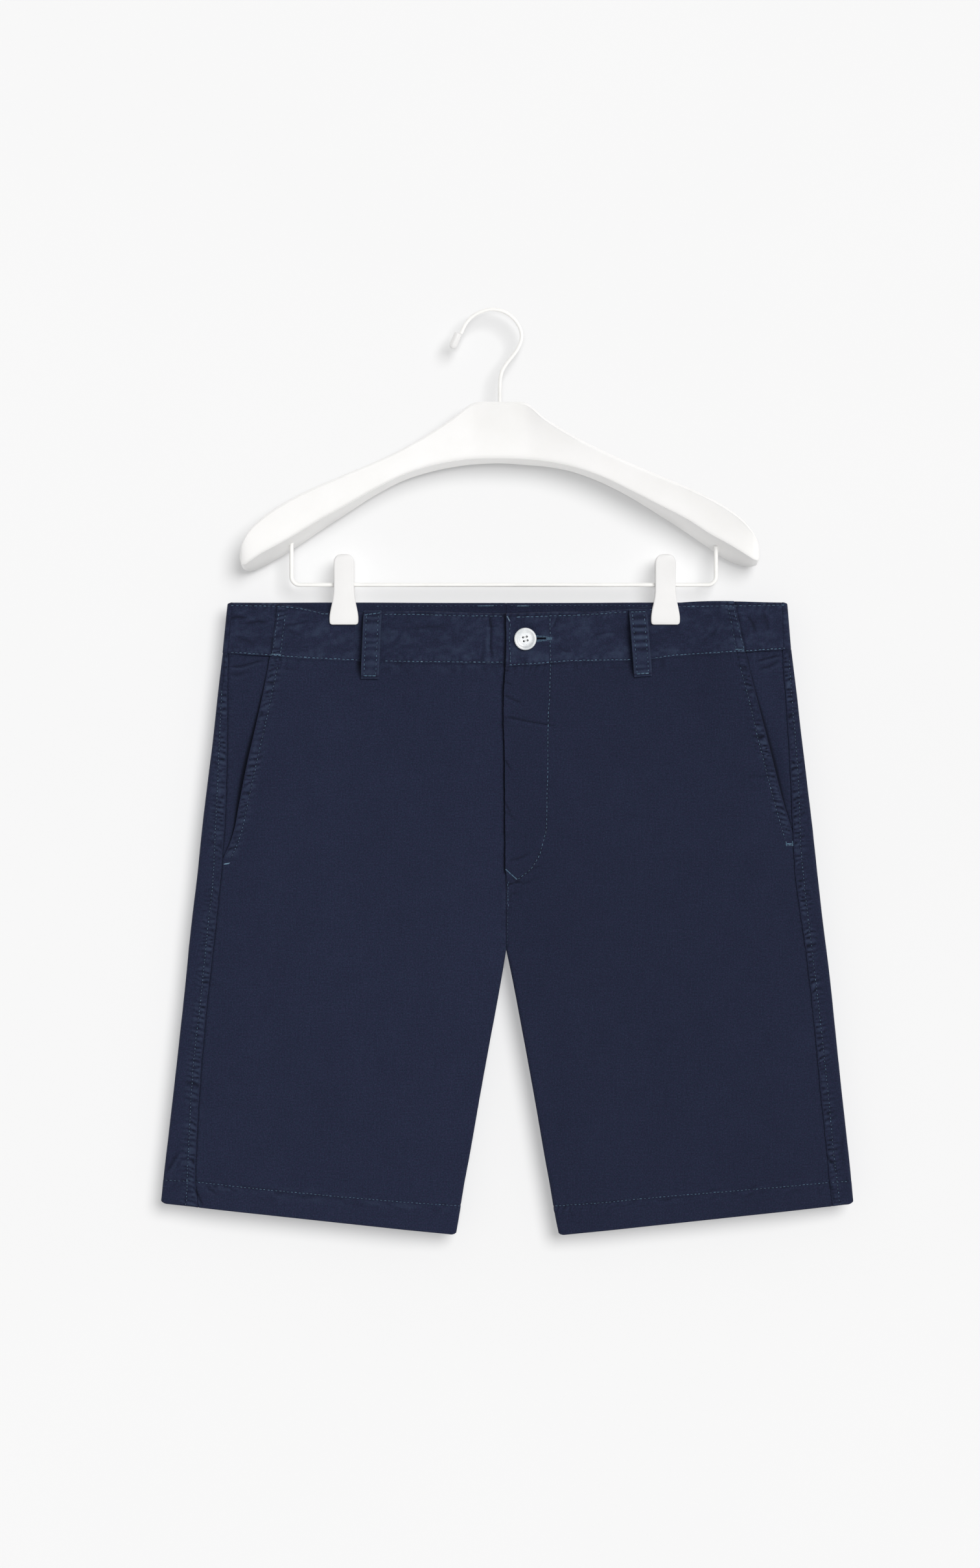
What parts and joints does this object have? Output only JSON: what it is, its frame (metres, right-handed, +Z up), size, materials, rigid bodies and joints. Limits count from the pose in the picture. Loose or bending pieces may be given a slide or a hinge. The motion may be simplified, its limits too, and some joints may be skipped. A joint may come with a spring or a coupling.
{
  "type": "bermuda shorts on a clip hanger",
  "caption": "Flat-front cotton bermuda shorts with slanted side pockets, belt loops and a buttoned fly, hung flat by the waistband from the clips of a shaped hanger.",
  "frame": {"origin": "inner crown of the hanger's hook, where the hanger rests on a rail or a peg", "axes": "+Z up, -Y the front of the shorts, +X the wearer's left"},
  "size_m": [0.5777, 0.0327, 0.7744],
  "materials": {
    "twill": "navy garment-dyed cotton twill, matt, seams puckered and a little faded along their edges",
    "thread": "lighter blue sewing thread, matt",
    "button": "off-white mottled pearly resin, satin",
    "hanger_paint": "smooth white, low sheen",
    "hook_paint": "white painted steel wire, low sheen",
    "clip_plastic": "smooth white plastic, low sheen",
    "spring_steel": "bright steel spring barrel"
  },
  "bodies": {
    "root": {"front_panel_right": "twill", "front_panel_left": "twill", "back_panel_right": "twill", "back_panel_left": "twill", "pocket_facing_right": "twill", "pocket_facing_left": "twill", "fly_underlap": "twill", "waistband_front_right": "twill", "waistband_front_left": "twill", "waistband_side_right": "twill", "waistband_side_left": "twill", "waistband_back_right": "twill", "waistband_back_left": "twill", "belt_loop_front_right": "twill", "belt_loop_front_left": "twill", "belt_loop_back_right": "twill", "belt_loop_back_left": "twill", "belt_loop_back_centre": "twill", "button": "button", "hanger_body": "hanger_paint", "hanger_hook": "hook_paint", "hook_tip": "clip_plastic", "trouser_bar": "hook_paint", "clip_right_front_jaw": "clip_plastic", "clip_right_back_jaw": "clip_plastic", "clip_right_barrel": "spring_steel", "clip_left_front_jaw": "clip_plastic", "clip_left_back_jaw": "clip_plastic", "clip_left_barrel": "spring_steel"}
  },
  "joints": []
}
